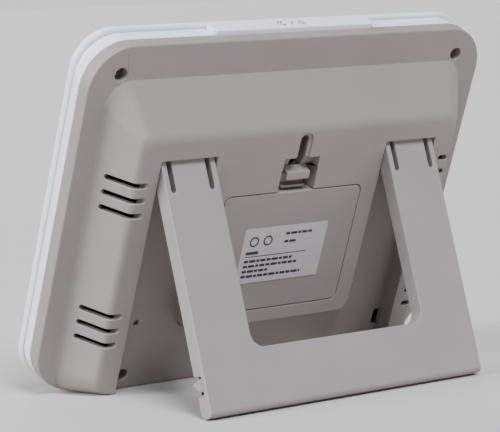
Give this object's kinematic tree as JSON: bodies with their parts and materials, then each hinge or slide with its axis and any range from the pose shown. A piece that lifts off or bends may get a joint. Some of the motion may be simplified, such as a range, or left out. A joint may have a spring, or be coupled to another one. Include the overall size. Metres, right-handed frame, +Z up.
{
  "type": "weather station display unit",
  "caption": "Desktop weather station display that leans back on a fold-out stand, with a battery door, latch, snooze bar, keys, vents and a keyhole.",
  "frame": {"origin": "middle of the object's box at the surface it stands on", "axes": "+Z up, the display faces -Y and leans back 20 degrees, the stand opens towards +Y, +X to the right seen from the front"},
  "size_m": [0.2058, 0.1002, 0.1538],
  "materials": {
    "white": "satin gloss",
    "beige": "fine matt texture",
    "paper": "printed sticker",
    "clear": "clear lens",
    "lcd": "liquid crystal glass",
    "diffuser": "diffusing sheet",
    "board": "solder mask",
    "black": "moulded",
    "steel": "nickel plated",
    "brass": "drawn wire",
    "rubber": "moulded",
    "cell": null
  },
  "bodies": {
    "case": {"rear_cover": "beige", "front_case": "white", "front_bezel": "white", "display_lens": "clear", "lcd_glass": "lcd", "backlight": "diffuser", "contact_strip": "rubber", "main_board": "board", "processor": "black", "receiver_module": "board", "receiver_antenna": "brass", "buzzer": "black", "sensor_board": "board", "humidity_sensor": "white", "light_switch_left": "black", "light_switch_right": "black", "reset_switch": "black", "key_switch_1": "black", "key_switch_2": "black", "key_switch_3": "black", "key_switch_4": "black", "key_switch_5": "black", "battery_cell_1": "cell", "battery_cell_2": "cell", "battery_cell_3": "cell", "battery_spring_1": "steel", "battery_spring_2": "steel", "battery_spring_3": "steel", "battery_contact_left": "steel", "battery_contact_right": "steel", "case_screw_1": "steel", "case_screw_2": "steel", "case_screw_3": "steel", "case_screw_4": "steel"},
    "stand": {"stand": "beige"},
    "battery_door": {"battery_door": "beige", "rating_label": "paper"},
    "battery_latch": {"battery_latch": "beige"},
    "light_bar": {"light_bar": "white"},
    "reset_button": {"reset_button": "black"},
    "key_1": {"key_1": "white"},
    "key_2": {"key_2": "white"},
    "key_3": {"key_3": "white"},
    "key_4": {"key_4": "white"},
    "key_5": {"key_5": "white"}
  },
  "joints": [
    {"name": "stand_fold", "type": "hinge", "parent": "case", "child": "stand", "pos_m": [0, 0.01475, 0.09769], "axis": [-1, 0, 0], "range_deg": [0, 38.55]},
    {"name": "door_swing", "type": "hinge", "parent": "case", "child": "battery_door", "pos_m": [0, -0.0059, 0.02997], "axis": [-1, 0, 0], "range_deg": [0, 55]},
    {"name": "latch_bend", "type": "hinge", "parent": "battery_door", "child": "battery_latch", "pos_m": [0, 0.00731, 0.08529], "axis": [-1, 0, 0], "range_deg": [0, 6], "stiffness_Nm_per_rad": 0.3},
    {"name": "light_bar_press", "type": "slide", "parent": "case", "child": "light_bar", "axis": [0, -0.342, -0.9397], "range_m": [0, 0.0008], "stiffness_N_per_m": 900},
    {"name": "reset_press", "type": "slide", "parent": "case", "child": "reset_button", "axis": [0, -0.9397, 0.342], "range_m": [0, 0.0005], "stiffness_N_per_m": 500},
    {"name": "key_1_press", "type": "slide", "parent": "case", "child": "key_1", "axis": [0, 0.9397, -0.342], "range_m": [0, 0.0004], "stiffness_N_per_m": 600},
    {"name": "key_2_press", "type": "slide", "parent": "case", "child": "key_2", "axis": [0, 0.9397, -0.342], "range_m": [0, 0.0004], "stiffness_N_per_m": 600},
    {"name": "key_3_press", "type": "slide", "parent": "case", "child": "key_3", "axis": [0, 0.9397, -0.342], "range_m": [0, 0.0004], "stiffness_N_per_m": 600},
    {"name": "key_4_press", "type": "slide", "parent": "case", "child": "key_4", "axis": [0, 0.9397, -0.342], "range_m": [0, 0.0004], "stiffness_N_per_m": 600},
    {"name": "key_5_press", "type": "slide", "parent": "case", "child": "key_5", "axis": [0, 0.9397, -0.342], "range_m": [0, 0.0004], "stiffness_N_per_m": 600}
  ]
}
